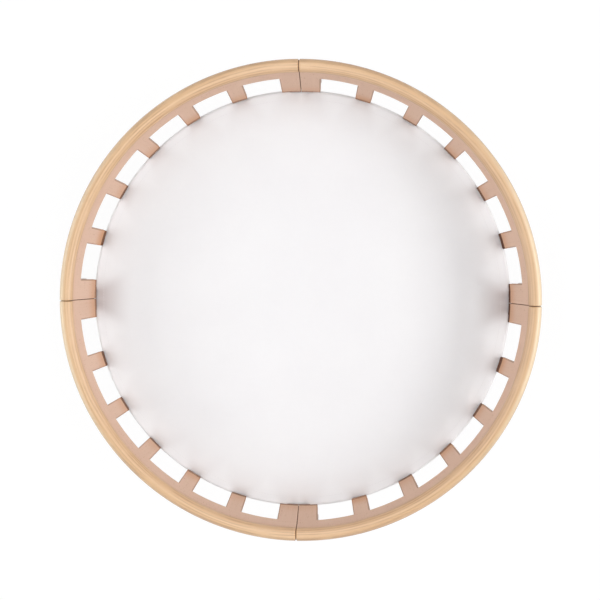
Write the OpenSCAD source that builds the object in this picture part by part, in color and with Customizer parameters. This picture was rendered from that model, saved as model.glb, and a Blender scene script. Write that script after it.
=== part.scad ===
// Roundnet stand: a bent-wood rim in four quarters, a net on a hoop, and four folding legs.
// Origin on the ground under the rim's centre, +Z up, millimetres. Seam 1 is on +X.

/* [Rim] */
// Outside diameter of the rail
rim_d = 914; // [800:1:1100]
// Height of the rail's top above the ground
rim_h = 203; // [185:1:240]
// Diameter of the rail's round section
rail_d = 25; // [22:0.5:28]
// Gap between two quarters at a seam
seam_gap = 1; // [0.6:0.1:1.6]
// Chamfer round the cut ends of a rail
rail_ease = 1.6; // [0.6:0.1:2.4]
// Diameter of the dowel across a seam
dowel_d = 10; // [7:0.5:12]
// Length of the dowel across a seam
dowel_l = 40; // [30:1:42]

/* [Comb] */
// Thickness of the comb
comb_t = 9; // [8:0.5:11]
// Slope of the comb below the horizontal, in degrees
comb_slope = 60; // [58:0.5:64]
// Width of the unbroken band below the rail, along the slope
band_w = 20; // [14:0.5:24]
// Length of a finger below the band, along the slope
finger_l = 45; // [41:0.5:52]
// Width of a finger at its middle
finger_w = 31; // [24:0.5:40]
// Width of the half finger on each side of a seam, at its middle
joint_w = 37.3; // [35:0.1:44]
// Fingers of a quarter between its two half fingers
finger_count = 5; // [3:1:6]
// Radius of the corners at a finger's end
finger_corner = 2.4; // [1:0.1:4]
// Depth of the groove in the rail that the comb is glued into
let_in = 5; // [3:0.5:6]

/* [Net] */
// Thickness of the net's cloth
net_t = 1.5; // [1:0.1:2]
// Diameter of the hoop in the net's hem
hoop_d = 9; // [7:0.5:11]
// Gap between a finger's end and the hem, along the slope
net_drop = 3; // [2:0.5:5]

/* [Clips] */
// Width of a net clip
clip_w = 14; // [10:0.5:20]
// Thickness of a net clip
clip_t = 1.5; // [1:0.1:2]
// Length of the clip's strap on the back of a finger
clip_l = 16; // [13:0.5:17]
// Diameter of a clip's screw
clip_screw_d = 3; // [2.5:0.1:4]
// Length of a clip's screw in the wood
clip_screw_l = 6; // [4:0.5:7]

/* [Brackets] */
// Length of a bracket along the rim
bracket_l = 84; // [80:1:96]
// Thickness of the bracket's flange on the back of the comb
flange_t = 2.5; // [2.3:0.1:3]
// Length of the flange, down the slope from the rail's centre
flange_l = 58; // [52:0.5:59]
// Height of the rail's centre above the hinge pin
hinge_drop = 48; // [47:0.5:52]
// Distance of the leg's centre outside the rail's centre line
leg_out = 1; // [0.5:0.5:4]
// Thickness of the tongue that carries the leg
tongue_t = 8; // [6:0.5:10]
// Width of the tongue
tongue_w = 20; // [18:0.5:22]
// Diameter of a screw between bracket and rail
rail_screw_d = 5; // [4:0.5:6]
// Distance of the rail screws outside the rail's centre line
rail_screw_out = 4; // [3.5:0.1:4.5]
// Distance of the nearer rail screws from the seam
rail_screw_near = 25; // [24.5:0.5:27]
// Distance of the farther rail screws from the seam
rail_screw_far = 36; // [34:0.5:37]
// Diameter of a screw between flange and comb
comb_screw_d = 4; // [3:0.1:4.2]
// Length of a comb screw in the wood
comb_screw_l = 6; // [4:0.5:7]
// Distance of the nearer comb screws from the seam
comb_screw_near = 12; // [10:0.5:14]
// Distance of the farther comb screws from the seam
comb_screw_far = 28; // [24:0.5:31]

/* [Legs] */
// Diameter of a leg
leg_d = 20; // [18:0.5:21]
// Diameter of the ferrule at the leg's top
ferrule_d = 24; // [23:0.5:25]
// Width of the ferrule's ears across their flats
ear_w = 20; // [18:0.5:21]
// Depth of the ferrule's socket
socket_l = 26; // [20:1:32]
// Diameter of the hinge pin
pin_d = 8; // [6:0.5:9]
// Thickness of the hinge pin's heads
pin_head = 1.4; // [1:0.1:2]
// Diameter of the rivet through ferrule and leg
rivet_d = 4; // [3:0.5:5]
// Diameter of a foot
foot_d = 26; // [25:0.5:30]
// Height of a foot
foot_h = 22; // [16:1:28]
// Thickness of rubber under the leg
sole_t = 6; // [4:0.5:8]

/* [Fits] */
// Radial gap of a pin or screw in its hole
run_gap = 0.05; // [0.02:0.01:0.1]
// Gap between glued or screwed faces
seat_gap = 0.1; // [0.05:0.01:0.2]
// Gap beside cloth, and between parts that move past each other
free_gap = 0.3; // [0.2:0.05:0.5]

/* [Hidden] */
$fn = 96;

rail_s = rail_d / 2; // radius of the rail's section
rail_r = rim_d / 2 - rail_s; // radius of the rail's centre line
rail_z = rim_h - rail_s;

// A place on the comb: t runs down its slope from the rail's centre, n out through its back.
function slope_r(t, n) = rail_r - t * cos(comb_slope) + n * sin(comb_slope);
function slope_z(t, n) = rail_z - t * sin(comb_slope) - n * cos(comb_slope);
function on_comb(t, n) = [slope_r(t, n), slope_z(t, n)];
function degrees_at(length, radius) = length / radius * 180 / PI;

back_n = comb_t / 2;
top_t = rail_s - let_in;
root_t = rail_s + band_w;
tip_t = root_t + finger_l;
middle_r = slope_r((root_t + tip_t) / 2, -back_n);
finger_deg = degrees_at(finger_w, middle_r);
joint_deg = degrees_at(joint_w + seam_gap / 2, middle_r);
window_deg = (90 - 2 * joint_deg - finger_count * finger_deg) / (finger_count + 1);
window_angles = [
    for (i = [0:finger_count]) joint_deg + i * (window_deg + finger_deg)
];
finger_angles = [
    for (i = [0:finger_count - 1]) window_angles[i] + window_deg + finger_deg / 2
];
joint_middle = degrees_at((joint_w + seam_gap) / 2, middle_r);
clip_angles = concat([joint_middle], finger_angles, [90 - joint_middle]);

hem_r = hoop_d / 2 + free_gap + net_t; // radius of the hem's roll
cradle_r = hem_r + free_gap; // inside radius of the clip's curl
hoop_t = tip_t + net_drop + hem_r;
hoop_n = back_n + seat_gap - cradle_r;
hoop_r = slope_r(hoop_t, hoop_n);
hoop_z = slope_z(hoop_t, hoop_n);
clip_top_t = tip_t - clip_l;
clip_screw_t = tip_t - clip_l * 0.6;
screw_head = 0.6; // a head's thickness, as a share of its screw's diameter
head_width = 2; // a head's diameter, likewise
head_sink = 0.4; // depth of a countersunk head below its face
head_play = 0.3; // radial gap round a countersunk head

pin_z = rail_z - hinge_drop;
leg_x = rail_r + leg_out;
leg_yaw = asin(pin_z / (2 * leg_x)); // lays the folded leg along a chord of the rim
stop_z = pin_z + ferrule_d / 2 + free_gap; // underside of the bracket's block
block_r = rail_r + rail_s - 2; // outer side of the bracket's block
block_ease = 1.5; // chamfer under that side
flange_n = back_n + seat_gap; // inner face of the flange
comb_screw_t = (root_t + flange_l) / 2;
web_t = 5.5; // solid part of the ferrule between its slot and its socket
slot_bottom = -tongue_w / 2 - free_gap;
leg_top = slot_bottom - web_t;
bracket_deg = degrees_at(bracket_l, rail_r);

honey = [0.90, 0.76, 0.58];
beech = [0.84, 0.69, 0.58];
cloth = [0.95, 0.94, 0.95];
steel = [0.72, 0.73, 0.75];
glass_fibre = [0.88, 0.88, 0.86];
white_coat = [0.93, 0.92, 0.90];
rubber = [0.10, 0.10, 0.10];

module seam(k) rotate([0, 0, 90 * (k - 1)]) children();

// A flat frame on the comb at an angle round the rim: X down the slope, Z out through the back.
module on_slope(angle)
    rotate([0, 0, angle]) translate([rail_r, 0, rail_z]) rotate([0, 180 - comb_slope, 0])
        children();

// Everything of a quarter turn that lies clear of the seams on both sides.
module quarter_space()
    translate([seam_gap / 2, seam_gap / 2, 0]) cube([rim_d, rim_d, 2 * rim_h]);

module strip(t0, t1, n0, n1)
    polygon([on_comb(t0, n0), on_comb(t1, n0), on_comb(t1, n1), on_comb(t0, n1)]);

// Where the bracket's screws enter: side is -1 before a seam and 1 after it.
module at_rail_screws()
    for (side = [-1, 1], place = [rail_screw_near, rail_screw_far])
        rotate([0, 0, side * degrees_at(place, rail_r)])
            translate([rail_r + rail_screw_out, 0, 0]) children();

module at_comb_screws()
    for (side = [-1, 1], place = [comb_screw_near, comb_screw_far])
        on_slope(side * degrees_at(place, middle_r)) translate([comb_screw_t, 0, 0]) children();

// The hinge's frame at a seam: X along the pin, Y the way the leg folds, Z up the standing leg.
// Neighbouring legs fold towards each other.
module at_hinge(k)
    seam(k) mirrored(k % 2 == 0) translate([leg_x, 0, pin_z]) rotate([0, 0, leg_yaw]) children();

module mirrored(on) {
    if (on) mirror([0, 1, 0]) children();
    else children();
}

// ---- rim ----

module end_chamfer()
    // Stands at a cut face, with the wood towards +Z.
    translate([0, 0, -1]) difference() {
        cylinder(r = rail_s + 2, h = rail_ease + 2);
        cylinder(r1 = rail_s - rail_ease - 1, r2 = rail_s + 1, h = rail_ease + 2);
    }

module rail_end()
    // Takes the dowel's bore and the chamfer out of the end at angle 0.
    translate([rail_r, seam_gap / 2, rail_z]) rotate([-90, 0, 0]) {
        translate([0, 0, -1]) cylinder(d = dowel_d + 2 * run_gap, h = dowel_l / 2 + 1.5);
        end_chamfer();
    }

module rail_screw_bores()
    at_rail_screws() translate([0, 0, rail_z - rail_s - 1])
        cylinder(d = rail_screw_d + 2 * run_gap, h = rail_s + 6);

module rail(k)
    color(honey) seam(k) difference() {
        intersection() {
            rotate_extrude(angle = 90, $fn = 192) difference() {
                translate([rail_r, rail_z]) circle(rail_s);
                strip(top_t, rail_d, -back_n - seat_gap, back_n + seat_gap);
            }
            quarter_space();
        }
        rail_end();
        rail_screw_bores();
        rotate([0, 0, 90]) {
            mirror([0, 1, 0]) rail_end();
            rail_screw_bores();
        }
    }

// One window's share of the comb, as a sector that starts at an angle.
module window(angle)
    rotate([0, 0, angle]) rotate_extrude(angle = window_deg, $fn = 192)
        strip(root_t, tip_t + comb_t, -comb_t, comb_t);

// What rounding a finger's corner takes away, at the angle of its edge. The finger is on side 1 or -1.
// The first and last of the round's chords run on past the wood, so that they cross its faces cleanly.
module corner_waste(angle, side) {
    function round_at(a) = finger_corner * [sin(a), side * (1 - cos(a))];
    last = 2 * round_at(90) - round_at(75);
    on_slope(angle) translate([tip_t - finger_corner, 0, -comb_t]) linear_extrude(2 * comb_t)
        polygon(concat(
            [[-1, -side], -round_at(15)],
            [for (a = [15:15:75]) round_at(a)],
            [last, [finger_corner + 1, last[1]], [finger_corner + 1, -side]]
        ));
}

module comb_bores()
    at_comb_screws() translate([0, 0, back_n - comb_screw_l - 0.5])
        cylinder(d = comb_screw_d + 2 * run_gap, h = comb_screw_l + 2);

module comb(k)
    color(beech) seam(k) difference() {
        intersection() {
            rotate_extrude(angle = 90, $fn = 192) strip(top_t + seat_gap, tip_t, -back_n, back_n);
            quarter_space();
        }
        for (a = window_angles) {
            window(a);
            corner_waste(a, -1);
            corner_waste(a + window_deg, 1);
        }
        comb_bores();
        rotate([0, 0, 90]) comb_bores();
        for (a = clip_angles)
            on_slope(a) translate([clip_screw_t, 0, back_n - clip_screw_l - 0.5])
                cylinder(d = clip_screw_d + 2 * run_gap, h = clip_screw_l + 2, $fn = 32);
    }

module seam_dowels()
    color(beech) for (k = [1:4])
        seam(k) translate([rail_r, 0, rail_z]) rotate([90, 0, 0])
            cylinder(d = dowel_d, h = dowel_l, center = true);

// ---- net ----

module net_hoop()
    color(glass_fibre) rotate_extrude($fn = 192) translate([hoop_r, hoop_z]) circle(d = hoop_d);

module net()
    color(cloth) rotate_extrude($fn = 192) difference() {
        union() {
            translate([hoop_r, hoop_z]) circle(hem_r);
            translate([0, hoop_z + hem_r - net_t]) square([hoop_r, net_t]);
        }
        translate([hoop_r, hoop_z]) circle(hem_r - net_t);
    }

// Side view of a clip, in the slope's own t and n.
module clip_outline() {
    strap_n = back_n + seat_gap;
    translate([clip_top_t, strap_n]) square([hoop_t - clip_top_t, clip_t]);
    translate([hoop_t, hoop_n]) intersection() {
        difference() {
            circle(cradle_r + clip_t);
            circle(cradle_r);
        }
        reach = 2 * cradle_r;
        // from the strap round under the hoop, up to level with its centre
        polygon([[0, 0], [0, reach], [reach, reach], [reach, -reach],
                 [reach * cos(comb_slope), -reach * sin(comb_slope)]]);
    }
}

module at_clips()
    for (k = [1:4], a = clip_angles) seam(k) on_slope(a) children();

module net_clips()
    color(steel) at_clips() difference() {
        rotate([90, 0, 0]) linear_extrude(clip_w, center = true) clip_outline();
        translate([clip_screw_t, 0, back_n - 1])
            cylinder(d = clip_screw_d + 2 * run_gap, h = clip_t + 4, $fn = 32);
    }

module screw(d, length, $fn = 32) {
    // The head sits on +Z, and the shank runs down from it.
    cylinder(d1 = head_width * d, d2 = d, h = screw_head * d);
    translate([0, 0, -length]) cylinder(d = d, h = length + screw_head * d / 2);
}

module clip_screws()
    color(steel) at_clips()
        translate([clip_screw_t, 0, back_n + seat_gap + clip_t + seat_gap])
            screw(clip_screw_d, clip_screw_l + clip_t + seat_gap);

// ---- brackets ----

// A countersunk screw and its bore. Both run up +Z from the face that the head is sunk in.
module sunk_screw(d, length)
    translate([0, 0, head_sink]) {
        cylinder(r1 = d - head_play, r2 = d / 2, h = d / 2 - head_play);
        cylinder(d = d, h = length - head_sink);
    }

module sunk_bore(d, length)
    translate([0, 0, -1]) {
        cylinder(r1 = d + head_sink + 1, r2 = d / 2, h = d / 2 + head_sink + 1);
        cylinder(d = d + 2 * run_gap, h = length + 1);
    }

module into_flange()
    translate([0, 0, flange_n + flange_t]) rotate([180, 0, 0]) children();

module bracket_section() {
    n1 = flange_n;
    n2 = flange_n + flange_t;
    knee_t = (rail_z - stop_z - n2 * cos(comb_slope)) / sin(comb_slope);
    difference() {
        polygon([on_comb(0, n1), on_comb(flange_l, n1), on_comb(flange_l, n2),
                 on_comb(knee_t, n2), [block_r - block_ease, stop_z], [block_r, stop_z + block_ease],
                 [block_r, rail_z], [rail_r, rail_z]]);
        translate([rail_r, rail_z]) circle(rail_s + seat_gap);
    }
}

module tongue()
    rotate([90, 0, 90]) linear_extrude(tongue_t, center = true) {
        circle(d = tongue_w);
        translate([-tongue_w / 2, 0]) square([tongue_w, stop_z - pin_z + 4]);
    }

module bracket(k)
    color(white_coat) difference() {
        union() {
            seam(k) rotate([0, 0, -bracket_deg / 2])
                rotate_extrude(angle = bracket_deg, $fn = 192) bracket_section();
            at_hinge(k) tongue();
        }
        at_hinge(k) rotate([0, 90, 0])
            cylinder(d = pin_d + 2 * run_gap, h = ferrule_d, center = true);
        seam(k) {
            at_rail_screws() translate([0, 0, stop_z]) sunk_bore(rail_screw_d, rim_h);
            at_comb_screws() into_flange() sunk_bore(comb_screw_d, comb_t);
        }
    }

module rail_screws()
    color(steel) for (k = [1:4])
        seam(k) at_rail_screws() translate([0, 0, stop_z])
            sunk_screw(rail_screw_d, rail_z + 4 - stop_z);

module comb_screws()
    color(steel) for (k = [1:4])
        seam(k) at_comb_screws() into_flange()
            sunk_screw(comb_screw_d, comb_screw_l + flange_t + seat_gap);

// ---- legs ----

module ferrule(k)
    color(steel) at_hinge(k) difference() {
        intersection() {
            translate([0, 0, leg_top - socket_l])
                cylinder(d = ferrule_d, h = ferrule_d / 2 - leg_top + socket_l);
            union() {
                // ears: square at the back, where they meet the bracket, and round in front
                rotate([90, 0, 90]) linear_extrude(ear_w, center = true) {
                    circle(d = ferrule_d);
                    translate([-ferrule_d / 2, slot_bottom]) square([ferrule_d / 2, ferrule_d / 2 - slot_bottom]);
                    translate([-ferrule_d / 2, slot_bottom - 1]) square([ferrule_d, 1 - slot_bottom]);
                }
                translate([0, 0, leg_top - socket_l]) cylinder(d = ferrule_d, h = socket_l + web_t);
            }
        }
        translate([-tongue_t / 2 - free_gap, -ferrule_d, slot_bottom])
            cube([tongue_t + 2 * free_gap, 2 * ferrule_d, 2 * ferrule_d]);
        translate([0, 0, leg_top - socket_l - 1]) cylinder(d = leg_d + 2 * run_gap, h = socket_l + 1);
        rotate([0, 90, 0]) cylinder(d = pin_d + 2 * run_gap, h = 2 * ferrule_d, center = true);
        rivet_bore();
    }

module rivet_bore()
    translate([0, 0, leg_top - socket_l / 2]) rotate([0, 90, 0])
        cylinder(d = rivet_d + 2 * run_gap, h = 2 * ferrule_d, center = true, $fn = 32);

module hinge_pin(k)
    color(steel) at_hinge(k) rotate([0, 90, 0]) {
        cylinder(d = pin_d, h = ear_w + 2 * seat_gap, center = true);
        for (side = [0, 180])
            rotate([side, 0, 0]) translate([0, 0, ear_w / 2 + seat_gap])
                cylinder(d1 = pin_d * 1.5, d2 = pin_d, h = pin_head);
    }

module leg(k)
    color(honey) at_hinge(k) difference() {
        translate([0, 0, sole_t - pin_z]) cylinder(d = leg_d, h = pin_z - sole_t + leg_top - seat_gap);
        rivet_bore();
    }

module leg_rivet(k)
    color(steel) at_hinge(k) translate([0, 0, leg_top - socket_l / 2]) rotate([0, 90, 0])
        cylinder(d = rivet_d, h = ferrule_d + 1, center = true, $fn = 32);

module foot(k) {
    outer = foot_d / 2;
    bore = leg_d / 2 + run_gap;
    color(rubber) at_hinge(k) translate([0, 0, -pin_z]) rotate_extrude()
        polygon([[0, 0], [outer - 2, 0], [outer, 2], [outer, sole_t], [outer - 1, foot_h - 1],
                 [outer - 2, foot_h], [bore, foot_h], [bore, sole_t - seat_gap],
                 [0, sole_t - seat_gap]]);
}

for (k = [1:4]) {
    rail(k);
    comb(k);
    bracket(k);
    ferrule(k);
    hinge_pin(k);
    leg(k);
    leg_rivet(k);
    foot(k);
}
seam_dowels();
net_hoop();
net();
net_clips();
clip_screws();
rail_screws();
comb_screws();
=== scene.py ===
import math
import random

import bpy
from mathutils import Matrix, Vector


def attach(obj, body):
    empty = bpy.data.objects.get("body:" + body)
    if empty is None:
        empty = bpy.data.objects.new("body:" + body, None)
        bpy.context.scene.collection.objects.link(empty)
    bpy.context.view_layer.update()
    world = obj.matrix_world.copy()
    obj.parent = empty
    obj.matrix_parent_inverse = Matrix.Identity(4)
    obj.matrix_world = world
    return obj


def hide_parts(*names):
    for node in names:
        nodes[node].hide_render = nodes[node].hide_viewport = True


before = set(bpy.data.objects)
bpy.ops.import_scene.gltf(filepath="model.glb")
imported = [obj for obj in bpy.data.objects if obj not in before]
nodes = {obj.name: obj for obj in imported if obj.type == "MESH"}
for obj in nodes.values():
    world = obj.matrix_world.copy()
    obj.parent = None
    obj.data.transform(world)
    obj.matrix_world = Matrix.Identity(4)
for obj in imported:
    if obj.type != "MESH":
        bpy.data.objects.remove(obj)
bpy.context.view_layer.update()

scene = bpy.context.scene
print("frame loaded:", len(nodes), "nodes")


# sizes the pieces share, in metres

ring = {
    "radius": 0.4445,        # the rail's centre line
    "height": 0.1905,
    "slope": math.radians(60),
    "fingerTop": 0.0325,     # where a finger leaves the band, down the slope
    "hoopRadius": 0.39936,
    "hoopHeight": 0.11633,
    "hemRadius": 0.0063,
    "fingerPitch": math.radians(13.97),
    "fingerHalf": math.radians(2.15),    # half a plain finger
    "wideHalf": math.radians(5.24),      # half a wide one, at a joint
    "jointDark": (0.0010, 0.0006),       # how far from a joint the wood is dark with oil
}
wideAngles = [0, 90, 180, 270]
plainAngles = [quarter + a for quarter in wideAngles for a in (17.06, 31.03, 45.0, 58.97, 72.94)]


# helpers

def paint(*seen):  # red, green and blue as on a screen, 0 to 255, as the shader wants them
    linear = [c / 255 / 12.92 if c <= 10.3 else ((c / 255 + 0.055) / 1.055) ** 2.4 for c in seen]
    return (*linear, 1.0)


class Wire:  # a node's output that can stand in a sum
    def __init__(self, finish, socket):
        self.finish, self.socket = finish, socket

    def out(self, name):
        return Wire(self.finish, self.socket.node.outputs[name])

    def __add__(self, other):
        return self.finish.math("ADD", self, other)

    __radd__ = __add__

    def __mul__(self, other):
        return self.finish.math("MULTIPLY", self, other)

    __rmul__ = __mul__

    def __sub__(self, other):
        return self.finish.math("SUBTRACT", self, other)

    def __rsub__(self, other):
        return self.finish.math("SUBTRACT", other, self)

    def __truediv__(self, other):
        return self.finish.math("DIVIDE", self, other)

    def __pow__(self, other):
        return self.finish.math("POWER", self, other)


class Finish:  # one material and its nodes
    def __init__(self, name):
        self.material = bpy.data.materials.new(name)
        self.material.use_nodes = True
        self.tree = self.material.node_tree
        self.tree.nodes.clear()

    def add(self, kind, settings=None, inputs=None, output=0):
        node = self.tree.nodes.new("ShaderNode" + kind)
        for key, value in (settings or {}).items():
            setattr(node, key, value)
        for key, value in (inputs or {}).items():
            if isinstance(value, Wire):
                self.tree.links.new(value.socket, node.inputs[key])
            else:
                node.inputs[key].default_value = value
        return Wire(self, node.outputs[output]) if node.outputs else None

    def math(self, operation, *values):
        return self.add("Math", {"operation": operation}, dict(enumerate(values)))

    def mix(self, factor, first, second):
        return self.add("Mix", {"data_type": "RGBA"}, {0: factor, 6: first, 7: second}, 2)

    def step(self, value, low, high):  # 0 below low, 1 above high, smooth between
        return self.add("MapRange", {"interpolation_type": "SMOOTHSTEP"}, {0: value, 1: low, 2: high})

    def spot(self, x, y, z):
        return self.add("CombineXYZ", None, {0: x, 1: y, 2: z})

    def noise(self, place, detail=2.0, roughness=0.5):
        return self.add("TexNoise", None, {"Vector": place, "Scale": 1.0, "Detail": detail,
                                           "Roughness": roughness}, "Fac")

    def waves(self, place, length):  # -1 to 1
        return self.math("SINE", place * (2 * math.pi / length))

    def bump(self, height, distance, strength=1.0):
        return self.add("Bump", None, {"Height": height, "Distance": distance, "Strength": strength})

    def place(self):  # the point's x, y and z in the frame
        parts = self.add("SeparateXYZ", None, {0: self.add("TexCoord", None, None, "Object")})
        return parts.out("X"), parts.out("Y"), parts.out("Z")

    def polar(self):  # the angle round the ring, the radius and the height
        x, y, z = self.place()
        return self.math("ARCTAN2", y, x), self.math("SQRT", x * x + y * y), z

    def surface(self, **sockets):
        named = {key.replace("_", " "): value for key, value in sockets.items()}
        shader = self.add("BsdfPrincipled", None, named)
        self.show(shader)
        return self.material

    def show(self, shader):
        self.add("OutputMaterial", None, {"Surface": shader})


def four(name):  # the names of a piece that is there once in each quarter
    return [f"{name}_{k}" for k in range(1, 5)]


def dress(material, *names):  # gives CAD nodes a material
    for name in names:
        slots = nodes[name].material_slots
        if not slots:
            nodes[name].data.materials.append(material)
        for slot in nodes[name].material_slots:
            slot.material = material


def only(piece):  # selects one piece and nothing else
    bpy.ops.object.select_all(action="DESELECT")
    piece.select_set(True)
    bpy.context.view_layer.objects.active = piece


def applied(piece, kind, **settings):
    only(piece)
    modifier = piece.modifiers.new(kind.title(), kind)
    for key, value in settings.items():
        setattr(modifier, key, value)
    bpy.ops.object.modifier_apply(modifier=modifier.name)


softEdge = {
    "width": 0.0011,
    "segments": 2,
    "corner": math.radians(35),      # only turns sharper than this are broken
    "same": 0.000002,                # corners closer than this are one
    "level": math.radians(0.6),      # faces that meet flatter than this are one
}


def softened(node, name, material):  # a copy of a node with its edges broken
    piece = bpy.data.objects.new(name, nodes[node].data.copy())
    scene.collection.objects.link(piece)
    piece.data.name = name
    only(piece)
    bpy.ops.mesh.customdata_custom_splitnormals_clear()
    bpy.ops.object.mode_set(mode="EDIT")
    bpy.ops.mesh.select_all(action="SELECT")
    bpy.ops.mesh.remove_doubles(threshold=softEdge["same"])
    bpy.ops.mesh.dissolve_limited(angle_limit=softEdge["level"])
    bpy.ops.object.mode_set(mode="OBJECT")
    bpy.ops.object.shade_smooth()
    applied(piece, "BEVEL", width=softEdge["width"], segments=softEdge["segments"], limit_method="ANGLE",
            angle_limit=softEdge["corner"], harden_normals=True)
    piece.data.materials.clear()
    piece.data.materials.append(material)
    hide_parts(node)
    return piece


# camera and studio

cameraPlace = {
    "at": Vector((0.17, 0.18, 2.5)),
    "aim": Vector((0.0046, 0.0062, 0.1905)),
    "roll": -0.006,
    "sensor": 36,
    "lens": 73.68,
}

camera = bpy.data.objects.new("camera", bpy.data.cameras.new("camera"))
scene.collection.objects.link(camera)
camera.data.sensor_width = cameraPlace["sensor"]
camera.data.lens = cameraPlace["lens"]
camera.data.clip_end = 100
ahead = (cameraPlace["aim"] - cameraPlace["at"]).normalized()
above = Vector((math.sin(cameraPlace["roll"]), math.cos(cameraPlace["roll"]), 0))    # the picture's top
right = ahead.cross(above).normalized()
up = right.cross(ahead)
turned = Matrix((right, up, -ahead)).transposed().to_4x4()
camera.matrix_world = Matrix.Translation(cameraPlace["at"]) @ turned
scene.camera = camera
scene.view_settings.view_transform = "Standard"

studio = {
    "world": 0.0,            # no light of its own, but the camera and shiny things see it white
    "floor": 24,             # its width
    "matt": (0.9, 0.9, 0.9, 1),
    "white": 0.88,           # how much of the floor's white the camera sees unshaded
    "glow": 1.04,            # a little over white, since the shaded share is greyer
    "far": (1.2, 4.0),       # between these the floor turns all white, since no shadow reaches there
    "aim": Vector((0, 0, 0.15)),
    # name, place, width, height and power in watts
    "lamps": [
        ("overhead", (0.0, 0.0, 3.0), 13.0, 13.0, 264),
        ("strip", (-0.1, 0.0, 1.3), 0.4, 3.0, 7.5),
        ("left", (-4.0, 0.0, 1.52), 4.6, 1.0, 56),
        ("right", (4.0, 0.0, 1.75), 4.6, 0.9, 99),
        ("front", (0.0, -4.0, 1.4), 4.6, 1.0, 23),
        ("back", (0.0, 4.0, 1.4), 4.6, 1.0, 12),
    ],
}


def buildStudio():
    world = bpy.data.worlds.new("studio")
    scene.world = world
    world.use_nodes = True
    tree = world.node_tree
    tree.nodes.clear()
    ray = tree.nodes.new("ShaderNodeLightPath")
    lit, plain = tree.nodes.new("ShaderNodeBackground"), tree.nodes.new("ShaderNodeBackground")
    lit.inputs["Strength"].default_value = studio["world"]
    plain.inputs["Strength"].default_value = 1.0
    for node in (lit, plain):
        node.inputs["Color"].default_value = (1, 1, 1, 1)
    either = tree.nodes.new("ShaderNodeMath")
    either.operation = "MAXIMUM"
    shiny = tree.nodes.new("ShaderNodeMath")
    shiny.operation = "MAXIMUM"
    blend = tree.nodes.new("ShaderNodeMixShader")
    end = tree.nodes.new("ShaderNodeOutputWorld")
    tree.links.new(ray.outputs["Is Glossy Ray"], shiny.inputs[0])
    tree.links.new(ray.outputs["Is Transmission Ray"], shiny.inputs[1])
    tree.links.new(ray.outputs["Is Camera Ray"], either.inputs[0])
    tree.links.new(shiny.outputs[0], either.inputs[1])
    tree.links.new(either.outputs[0], blend.inputs[0])
    tree.links.new(lit.outputs[0], blend.inputs[1])
    tree.links.new(plain.outputs[0], blend.inputs[2])
    tree.links.new(blend.outputs[0], end.inputs[0])
    for name, place, width, height, power in studio["lamps"]:
        lamp = bpy.data.lights.new(name, "AREA")
        lamp.shape = "RECTANGLE"
        lamp.size, lamp.size_y, lamp.energy = width, height, power
        holder = bpy.data.objects.new(name, lamp)
        scene.collection.objects.link(holder)
        holder.location = place
        if math.hypot(place[0], place[1]) > 1:       # those above the rim hang level
            towards = studio["aim"] - Vector(place)
            holder.rotation_euler = towards.to_track_quat("-Z", "Y").to_euler()
    bpy.ops.object.select_all(action="DESELECT")
    bpy.ops.mesh.primitive_plane_add(size=studio["floor"], location=(0, 0, 0))
    floor = bpy.context.object
    floor.name = "floor"
    look = Finish("floorWhite")
    ray = look.add("LightPath")
    seen = look.math("MAXIMUM", ray.out("Is Camera Ray"),
                     look.math("MAXIMUM", ray.out("Is Glossy Ray"), ray.out("Is Transmission Ray")))
    matt = look.add("BsdfDiffuse", None, {"Color": studio["matt"]})
    glow = look.add("Emission", None, {"Color": (1, 1, 1, 1), "Strength": studio["glow"]})
    far = look.step(look.polar()[1], *studio["far"])
    white = studio["white"] + far * (1 - studio["white"])
    look.show(look.add("MixShader", None, {0: seen * white, 1: matt, 2: glow}))
    floor.data.materials.append(look.material)


buildStudio()
print("studio built")


# wood

railLook = {
    "pale": paint(233, 196, 154),
    "deep": paint(204, 161, 114),
    # painted shade on the rail's inner side, where it meets the band
    "inner": paint(196, 158, 124),
    # dark grain lines, also the colour of the painted shade along the outer edge
    "line": paint(158, 114, 74),
    "paintedSideHighlight": paint(253, 231, 194),       # a painted highlight on the outside of the rail at the left and right
    "growth": 0.0050,                    # between two dark lines
    "sealedAndShadow": paint(112, 66, 32),        # end grain at the joints, closed with oil
}


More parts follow.
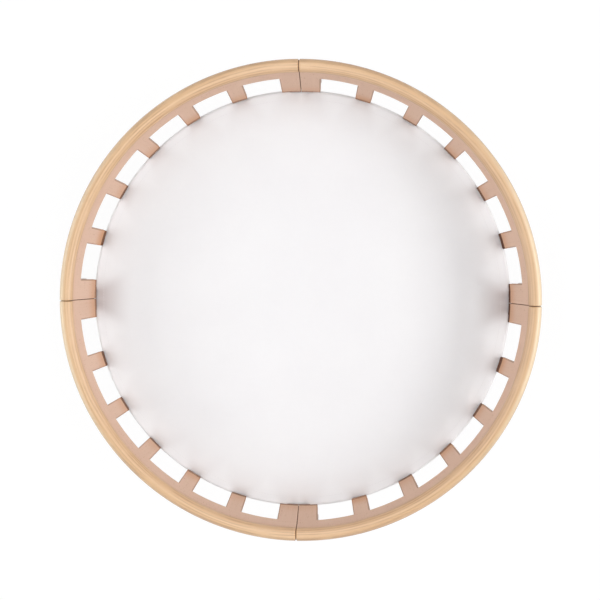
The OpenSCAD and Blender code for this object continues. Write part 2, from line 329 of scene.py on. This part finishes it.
def railFinish():
    f = Finish("railAsh")
    angle, radius, z = f.polar()
    quarter = f.math("FLOOR", angle * (2 / math.pi))
    along = angle * ring["radius"] + quarter * 3.17
    broad = f.noise(f.spot(along * 5, radius * 60, z * 60), 3.0)
    cloud = f.noise(f.spot(along * 14, radius * 25, z * 25), 3.0)
    streak = f.noise(f.spot(along * 7, radius * 330, z * 330), 4.0, 0.6)
    across = radius * 0.8 + z * 0.6 + broad * 0.009
    growth = f.waves(across, railLook["growth"]) * 0.5 + 0.5
    late = f.step(growth, 0.35, 1.0) * f.step(cloud, 0.3, 0.6)
    pore = f.step(f.noise(f.spot(along * 120, radius * 2100, z * 2100), 1.0), 0.63, 0.72)
    # painted shade on the rail's inner side, stronger at the right
    inner = f.step(radius, ring["radius"] - 0.0005, ring["radius"] - 0.0105)
    tone = quarter * 0.37 - f.math("FLOOR", quarter * 0.37)      # each quarter from its own board
    side = f.place()[0] / radius                       # -1 at the left, 1 at the right
    flank = side ** 4                                  # 1 at both, 0 between them
    shade = broad * 0.3 + streak * 0.42 + tone * 0.16 + (1 - flank) * 0.2    # the flank term is painted light: the left and right sides lighter, the top and bottom darker
    colour = f.mix(shade, railLook["pale"], railLook["deep"])
    colour = f.mix(inner * (0.28 + f.step(side, 0.2, 0.95) * 0.3), colour, railLook["inner"])
    colour = f.mix(late * (0.42 - flank * 0.2), colour, railLook["line"])
    colour = f.mix(pore * 0.2, colour, railLook["line"])
    # a painted highlight on the rail's outer half at the left and right
    paintedSideHighlight = f.step(radius, ring["radius"], ring["radius"] + 0.0075) * flank
    colour = f.mix(paintedSideHighlight * 0.65, colour, railLook["paintedSideHighlight"])
    # painted shade along the outer edge, narrower at the left and right
    paintedRimShade = f.step(radius, ring["radius"] + 0.0078 + flank * 0.0028, ring["radius"] + 0.0126)
    colour = f.mix(paintedRimShade * 0.42, colour, railLook["line"])
    seam = f.math("PINGPONG", angle, math.pi / 4) * radius       # how far the nearest joint is
    colour = f.mix(f.step(seam, *ring["jointDark"]) * 0.8, colour, railLook["sealedAndShadow"])
    height = streak * 0.5 - late * 0.2 - pore * 0.8
    return f.surface(Base_Color=colour, Roughness=0.36 + streak * 0.1, Coat_Weight=0.7,
                     Coat_Roughness=0.2, Normal=f.bump(height, 0.0002, 0.45))


combLook = {
    "pale": paint(217, 186, 166),
    "deep": paint(200, 164, 142),
    "top": paint(204, 165, 132),         # darker and warmer just under the rail
    "fleck": paint(150, 104, 76),
    "ply": paint(172, 132, 106),
    "cut": paint(158, 116, 88),          # sawn sides of the fingers
    "oiledAndShaded": paint(190, 134, 92),        # oil crept up from the ends, and painted shade darkening toward them
    "edge": paint(150, 116, 98),         # painted shade along the fingers' long edges
    "sealedAndShadow": paint(62, 24, 6),          # the fingers' ends: oiled end grain and a painted shadow of the gap under them
    "plyThick": 0.0036,
}


def combFinish():
    f = Finish("combBeech")
    angle, radius, z = f.polar()
    quarter = f.math("FLOOR", angle * (2 / math.pi))
    around = angle * ring["radius"] + quarter * 2.31
    inward, below = ring["radius"] - radius, ring["height"] - z
    sine, cosine = math.sin(ring["slope"]), math.cos(ring["slope"])
    down = inward * cosine + below * sine              # along the slope from the rail's centre line
    depth = below * cosine - inward * sine             # through the wood
    broad = f.noise(f.spot(around * 22, down * 9, depth * 40), 3.0)
    lengthwise = f.noise(f.spot(around * 420, down * 14, depth * 300), 4.0, 0.6)
    roundwise = f.noise(f.spot(around * 11, down * 420, depth * 300), 4.0, 0.6)
    onBand = f.step(down, ring["fingerTop"] + 0.002, ring["fingerTop"] - 0.003)
    streak = roundwise * onBand + lengthwise * (1 - onBand)
    fleck = f.step(f.noise(f.spot(around * 800, down * 170, depth * 500), 1.0), 0.64, 0.73)
    ply = f.step(f.waves(depth + 0.0045, combLook["plyThick"]), -0.2, 0.3)
    facing = f.add("SeparateXYZ", None, {0: f.add("TexCoord", None, None, "Normal")})
    x, y, _ = f.place()
    sideways = f.math("ABSOLUTE", (facing.out("Y") * x - facing.out("X") * y) / radius)
    cut = f.step(sideways, 0.3, 0.65) * f.step(down, ring["fingerTop"] - 0.004, ring["fingerTop"])
    colour = f.mix(broad * 0.5 + streak * 0.5, combLook["pale"], combLook["deep"])
    colour = f.mix(f.step(down, 0.019, 0.010) * 0.6, colour, combLook["top"])
    colour = f.mix(fleck * 0.28, colour, combLook["fleck"])
    colour = f.mix(cut * (0.55 + ply * 0.3), colour, f.mix(ply, combLook["cut"], combLook["ply"]))
    turn = f.math("PINGPONG", angle, math.pi / 4)      # 0 at the joints
    plain = f.step(turn, 0.11, 0.13)                   # 1 on the plain fingers, 0 on the wide ones
    middle = angle - quarter * (math.pi / 2) - math.pi / 4       # from the quarter's middle finger
    off = f.math("PINGPONG", middle, ring["fingerPitch"] / 2)
    side = ((ring["wideHalf"] - turn) * (1 - plain) + (ring["fingerHalf"] - off) * plain) * radius
    onFinger = f.step(down, ring["fingerTop"] - 0.001, ring["fingerTop"] + 0.002)
    # painted shade along the long edges of each finger
    colour = f.mix(f.step(side, 0.0026, 0.0010) * onFinger * 0.7, colour, combLook["edge"])
    # each finger's end differs at random in how far the oil and the painted shadow reach
    which = f.math("ROUND", middle / ring["fingerPitch"]) + quarter * 11
    fingerChance = f.add("TexWhiteNoise", {"noise_dimensions": "1D"}, {"W": which}, "Value")
    flank = (x / radius) ** 4                          # the painted shade at the ends is wider and darker at the sides
    left = f.step(x / radius, 0.2, -0.9)               # and less at the left than at the right
    # the dark band at each end is oiled end grain and a painted shadow of the gap under the finger
    oilAndShadowReach = 0.0006 + flank * (1 - left * 0.5) * (0.0022 + plain * 0.0034) + plain * fingerChance * 0.0010
    edge = down + f.noise(f.spot(around * 60, depth * 60, 0), 1.0) * 0.0020 + oilAndShadowReach
    sealedAndShadow = f.step(edge, 0.0751, 0.0761) * (1 - (1 - flank) * (0.3 + fingerChance * 0.3))
    sealedAndShadow = sealedAndShadow * (1 - left * (0.45 - plain * 0.35))
    # oil crept up from the ends and painted shade, darker toward the ends and at the sides
    oilAndShadeCreep = f.step(edge, 0.052, 0.077) * (0.25 + flank * 0.3 + plain * fingerChance * 0.4)
    colour = f.mix(oilAndShadeCreep, colour, combLook["oiledAndShaded"])
    colour = f.mix(sealedAndShadow * 0.97, colour, combLook["sealedAndShadow"])
    colour = f.mix(f.step(turn * radius, *ring["jointDark"]) * 0.8, colour, railLook["sealedAndShadow"])
    rough = 0.5 + streak * 0.1 + cut * 0.12 + sealedAndShadow * 0.3
    return f.surface(Base_Color=colour, Roughness=rough, Coat_Weight=0.12 * (1 - sealedAndShadow),
                     Coat_Roughness=0.35, Normal=f.bump(streak * 0.6 - fleck * 0.6, 0.0002, 0.4))


legLook = {
    "pale": paint(236, 206, 168),
    "deep": paint(205, 164, 120),
    "pore": paint(160, 115, 76),
}


def legFinish():
    f = Finish("legAsh")
    x, y, z = f.place()
    broad = f.noise(f.spot(x * 70, y * 70, z * 6), 3.0)
    streak = f.noise(f.spot(x * 700, y * 700, z * 12), 4.0, 0.6)
    pore = f.step(f.noise(f.spot(x * 2000, y * 2000, z * 130), 1.0), 0.62, 0.7)
    colour = f.mix(broad * 0.5 + streak * 0.5, legLook["pale"], legLook["deep"])
    colour = f.mix(pore * 0.3, colour, legLook["pore"])
    return f.surface(Base_Color=colour, Roughness=0.45 + streak * 0.1, Coat_Weight=0.2,
                     Coat_Roughness=0.3, Normal=f.bump(streak - pore, 0.0002, 0.5))


dress(railFinish(), *four("rail"), "seam_dowels")
combWood = combFinish()
for k in range(1, 5):
    comb = softened(f"comb_{k}", f"fingerComb_{k}", combWood)
    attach(comb, "rim")
dress(legFinish(), *four("leg"))
print("wood finished")


# metal and rubber

metalLook = {
    # colour, roughness, brushed lines across z and along it
    "clipSteel": ((196, 197, 200), 0.3, (500, 500)),
    "ferruleMetal": ((186, 188, 192), 0.28, (60, 3000)),
    "screwSteel": ((176, 177, 181), 0.26, (900, 900)),
    "pinSteel": ((170, 171, 175), 0.24, (900, 900)),
}

fittingLook = {
    "rod": (paint(232, 230, 222), paint(198, 196, 186)),
    "coat": (paint(233, 229, 225), paint(218, 213, 208)),
    "rubber": (paint(38, 37, 37), paint(92, 88, 82)),
}


def steelFinish(name):
    colour, rough, lines = metalLook[name]
    f = Finish(name)
    x, y, z = f.place()
    grain = f.noise(f.spot(x * lines[0], y * lines[0], z * lines[1]), 3.0, 0.6)
    stain = f.noise(f.spot(x * 130, y * 130, z * 130), 2.0)
    tone = f.mix(grain * 0.35 + stain * 0.25, paint(*colour), paint(*[c * 0.72 for c in colour]))
    return f.surface(Base_Color=tone, Metallic=1.0, Roughness=rough + grain * 0.12 + stain * 0.06,
                     Normal=f.bump(grain, 0.00005, 0.4))


def rodFinish():  # long glass fibres in clear resin
    f = Finish("hoopRod")
    angle, radius, z = f.polar()
    fibre = f.noise(f.spot(angle * 12, radius * 1800, z * 1800), 3.0, 0.6)
    tone = f.mix(fibre, *fittingLook["rod"])
    return f.surface(Base_Color=tone, Roughness=0.4 + fibre * 0.15, Normal=f.bump(fibre, 0.00005, 0.5))


def coatFinish():
    f = Finish("bracketCoat")
    x, y, z = f.place()
    peel = f.noise(f.spot(x * 1400, y * 1400, z * 1400), 2.0)
    dust = f.noise(f.spot(x * 60, y * 60, z * 60), 3.0)
    tone = f.mix(dust, *fittingLook["coat"])
    return f.surface(Base_Color=tone, Roughness=0.42 + dust * 0.15, Normal=f.bump(peel, 0.0002, 0.5))


def rubberFinish():
    f = Finish("footRubber")
    x, y, z = f.place()
    fine = f.noise(f.spot(x * 900, y * 900, z * 900), 3.0)
    dust = f.step(f.noise(f.spot(x * 90, y * 90, z * 90), 3.0), 0.45, 0.75) * f.step(z, 0.012, 0.0)
    tone = f.mix(dust * 0.5, *fittingLook["rubber"])
    return f.surface(Base_Color=tone, Roughness=0.72 + fine * 0.15, Normal=f.bump(fine, 0.0002, 0.5))


dress(steelFinish("clipSteel"), "net_clips")
dress(steelFinish("ferruleMetal"), *four("ferrule"))
dress(rodFinish(), "net_hoop")
dress(steelFinish("screwSteel"), "clip_screws", "rail_screws", "comb_screws")
dress(steelFinish("pinSteel"), *four("hinge_pin"), *four("leg_rivet"))
dress(coatFinish(), *four("bracket"))
dress(rubberFinish(), *four("foot"))
print("metal and rubber finished")


# the net: cloth pulled over the hoop

cloth = {
    "thick": 0.0012,
    "inset": 0.0001,         # how far it stays inside the hem's own size
    "weave": 0.0011,
    "sectors": 432,
    "rings": (0.07, 0.18, 0.32, 0.46, 0.58, 0.68, 0.76, 0.81, 0.85, 0.88, 0.9, 0.915, 0.928, 0.94, 0.95,
              0.959, 0.967, 0.974, 0.98, 0.985, 0.99, 0.995),
    "rise": 0.0060,          # how far the padding stands over the hoop between the fingers
    # finger angles, half width, share and reach of the short dent, reach and fall of the long one
    "dents": [(plainAngles, 0.0162, 0.5, 0.010, 0.065, 3), (wideAngles, 0.0196, 0.15, 0.010, 0.062, 1.5)],
    "dentWidth": 0.13,       # no dent is felt farther to the side
    "dentSide": 0.0014,      # how softly a dent ends to the side
    # how much wider and how much softer the short and the long dent get on the way inward
    "dentSpread": ((0.3, 0.28), (0.45, 0.4)),
    "hemReturn": 0.014,      # the hem under the cloth, inside the hoop
    # shares of the hem's way in from the hoop, and of its way back up to the cloth
    "hemRows": ((0.35, 0.03), (0.6, 0.35), (0.8, 0.85), (1.0, 1.0)),
    "white": paint(250, 249, 250),
    "grey": paint(238, 236, 239),
    "paintedFingerShade": paint(186, 174, 174),      # painted shade on the cloth in front of the fingers
}


def clothPress(edge, degrees):  # 0 where the cloth stands free, 1 where a finger holds it down
    free = 1.0
    for centres, width, share, short, long, fall in cloth["dents"]:
        for centre in centres:
            off = abs((degrees - centre + 180) % 360 - 180) * math.pi / 180 * ring["hoopRadius"]
            if off > cloth["dentWidth"]:
                continue
            near, wide = (
                1 / (1 + math.exp((off - width - edge * grow) / (cloth["dentSide"] + edge * soft)))
                for grow, soft in cloth["dentSpread"])
            free -= share * near * math.exp(-edge / short)
            free -= (1 - share) * wide * (1 - min(1, edge / long)) ** fall
    return 1 - max(0.0, free)


def openEdge():  # in edit mode, selects the sheet's free edge
    bpy.ops.mesh.select_all(action="DESELECT")
    bpy.ops.mesh.select_mode(type="EDGE")
    bpy.ops.mesh.select_non_manifold(extend=False, use_wire=False, use_multi_face=False,
                                     use_non_contiguous=False, use_verts=False)


def buildCloth():
    outer = ring["hemRadius"] - cloth["inset"]
    middle = outer - cloth["thick"] / 2
    top = ring["hoopHeight"] + middle
    bottom = ring["hoopHeight"] - middle
    under = top - cloth["thick"] * 1.15
    rows = [(ring["hoopRadius"] * share, top) for share in cloth["rings"]]
    for turn in range(90, -91, -15):
        out, rise = middle * math.cos(math.radians(turn)), middle * math.sin(math.radians(turn))
        rows.append((ring["hoopRadius"] + out, ring["hoopHeight"] + rise))
    for share, lift in cloth["hemRows"]:
        rows.append((ring["hoopRadius"] - cloth["hemReturn"] * share, bottom + (under - bottom) * lift))
    bpy.ops.object.select_all(action="DESELECT")
    bpy.ops.mesh.primitive_circle_add(vertices=cloth["sectors"], radius=rows[0][0], fill_type="TRIFAN",
                                      location=(0, 0, 0))
    piece = bpy.context.object
    piece.name = piece.data.name = "netCloth"
    bpy.ops.object.mode_set(mode="EDIT")
    bpy.ops.mesh.select_all(action="SELECT")
    bpy.ops.transform.translate(value=(0, 0, rows[0][1]))
    openEdge()
    for (radius, height), (nextRadius, nextHeight) in zip(rows, rows[1:]):
        bpy.ops.mesh.extrude_edges_move()
        grow = nextRadius / radius
        bpy.ops.transform.resize(value=(grow, grow, 1), center_override=(0, 0, 0))
        bpy.ops.transform.translate(value=(0, 0, nextHeight - height))
    bpy.ops.object.mode_set(mode="OBJECT")
    applied(piece, "SOLIDIFY", thickness=cloth["thick"], offset=0.0)
    for point in piece.data.vertices:    # the padding swells the upper face, the fingers press it
        radius = math.hypot(point.co.x, point.co.y)
        over = (point.co.z - ring["hoopHeight"]) / outer
        outside = math.hypot(radius - ring["hoopRadius"], point.co.z - ring["hoopHeight"]) > middle
        if over > 0.01 and (outside if radius > ring["hoopRadius"] else over > 0.95):
            side = math.degrees(math.atan2(point.co.y, point.co.x))
            press = clothPress(max(0.0, ring["hoopRadius"] - radius), side)
            point.co.z += cloth["rise"] * (1 - press) * min(1.0, over)
    only(piece)
    bpy.ops.object.shade_smooth_by_angle(angle=math.radians(40))
    piece.data.materials.append(clothFinish())
    return piece


def clothFinish():
    f = Finish("netCloth")
    x, y, z = f.place()
    weave = f.waves(x, cloth["weave"]) * f.waves(y, cloth["weave"])
    slub = f.noise(f.spot(x * 900, y * 60, z * 60), 2.0) + f.noise(f.spot(x * 60, y * 900, z * 60), 2.0)
    cloud = f.noise(f.spot(x * 7, y * 7, z * 7), 3.0)
    angle, radius, _ = f.polar()
    edge = ring["hoopRadius"] - radius
    nearest = f.math("PINGPONG", angle, math.pi / 4)   # 0 at the joints
    joint = nearest * radius
    finger = f.math("PINGPONG", math.pi / 4 - nearest, ring["fingerPitch"] / 2) * radius
    # painted shade fanning inward from each finger, a short and a long patch
    paintedFingerShade = (1 - f.step(finger - edge * 0.4, 0.004, 0.026)) * f.step(edge, 0.026, 0.0)
    paintedLongShade = (1 - f.step(finger - edge * 0.5, 0.004, 0.034)) * f.step(edge, 0.075, 0.0)
    # painted shade in front of the wide fingers at the joints, stronger at the left and right
    paintedJointShade = (1 - f.step(joint - edge * 0.5, 0.006, 0.036)) * f.step(edge, 0.07, 0.002)
    paintedJointShade = paintedJointShade * f.math("ABSOLUTE", x / radius) * 0.5
    tone = f.mix(cloud * 0.5 + slub * 0.15, cloth["white"], cloth["grey"])
    tone = f.mix(paintedFingerShade * 0.14 + paintedLongShade * 0.1 + paintedJointShade, tone, cloth["paintedFingerShade"])
    return f.surface(Base_Color=tone, Roughness=0.8 - weave * 0.06, Sheen_Weight=0.15,
                     Normal=f.bump(weave + slub * 0.4, 0.00012, 0.6))


netCloth = buildCloth()
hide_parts("net")
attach(netCloth, "rim")
print("cloth pulled over the hoop")


# the hem's stitches

stitch = {
    "radius": 0.3870,
    "count": 420,
    "length": 0.0042,
    "wide": 0.0007,
    "flat": 0.7,             # its width against its thickness
    "broken": 0.0003,        # its softened edges
    "lift": 0.0001,          # its middle over the cloth
    "stray": 0.00015,        # how far one lies off the line
    "skew": 0.05,
    "pale": paint(244, 242, 244),
    "grey": paint(216, 212, 214),
}


def threadFinish():
    f = Finish("hemThread")
    x, y, z = f.place()
    twist = f.waves(x + y, stitch["wide"])
    fuzz = f.noise(f.spot(x * 1500, y * 1500, z * 1500), 2.0)
    tone = f.mix(fuzz * 0.7, stitch["pale"], stitch["grey"])
    return f.surface(Base_Color=tone, Roughness=0.75 + fuzz * 0.1,
                     Normal=f.bump(twist + fuzz, 0.0001, 0.5))


def clothTop(radius, degrees):  # the height of the cloth's upper face
    press = clothPress(ring["hoopRadius"] - radius, degrees)
    return ring["hoopHeight"] + ring["hemRadius"] - cloth["inset"] + cloth["rise"] * (1 - press)


def buildStitches():
    bpy.ops.object.select_all(action="DESELECT")
    bpy.ops.mesh.primitive_cylinder_add(vertices=6, radius=stitch["wide"] / 2, depth=stitch["length"],
                                        location=(0, 0, 0))
    one = bpy.context.object
    bpy.ops.object.mode_set(mode="EDIT")
    bpy.ops.mesh.select_all(action="SELECT")
    bpy.ops.transform.rotate(value=math.pi / 2, orient_axis="X", center_override=(0, 0, 0))
    bpy.ops.object.mode_set(mode="OBJECT")
    for point in one.data.vertices:
        point.co.x *= stitch["flat"]
    applied(one, "BEVEL", width=stitch["broken"], segments=1, limit_method="ANGLE",
            angle_limit=math.radians(60))
    rng = random.Random(7)
    copies = []
    for k in range(stitch["count"]):
        degrees = 360 * (k + 0.5) / stitch["count"]
        copy = bpy.data.objects.new("stitch", one.data.copy())
        scene.collection.objects.link(copy)
        radius = stitch["radius"] + rng.uniform(-stitch["stray"], stitch["stray"])
        height = clothTop(radius, degrees) + stitch["lift"]
        a = math.radians(degrees)
        copy.data.transform(Matrix.Translation((radius * math.cos(a), radius * math.sin(a), height))
                            @ Matrix.Rotation(a + rng.uniform(-stitch["skew"], stitch["skew"]), 4, "Z"))
        copies.append(copy)
    bpy.data.objects.remove(one)
    only(copies[0])
    for copy in copies:
        copy.select_set(True)
    bpy.ops.object.join()
    piece = bpy.context.object
    piece.name = piece.data.name = "hemStitch"
    only(piece)
    bpy.ops.object.shade_smooth_by_angle(angle=math.radians(50))
    piece.data.materials.clear()
    piece.data.materials.append(threadFinish())
    return piece


hemStitch = buildStitches()
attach(hemStitch, "rim")
print("hem sewn")
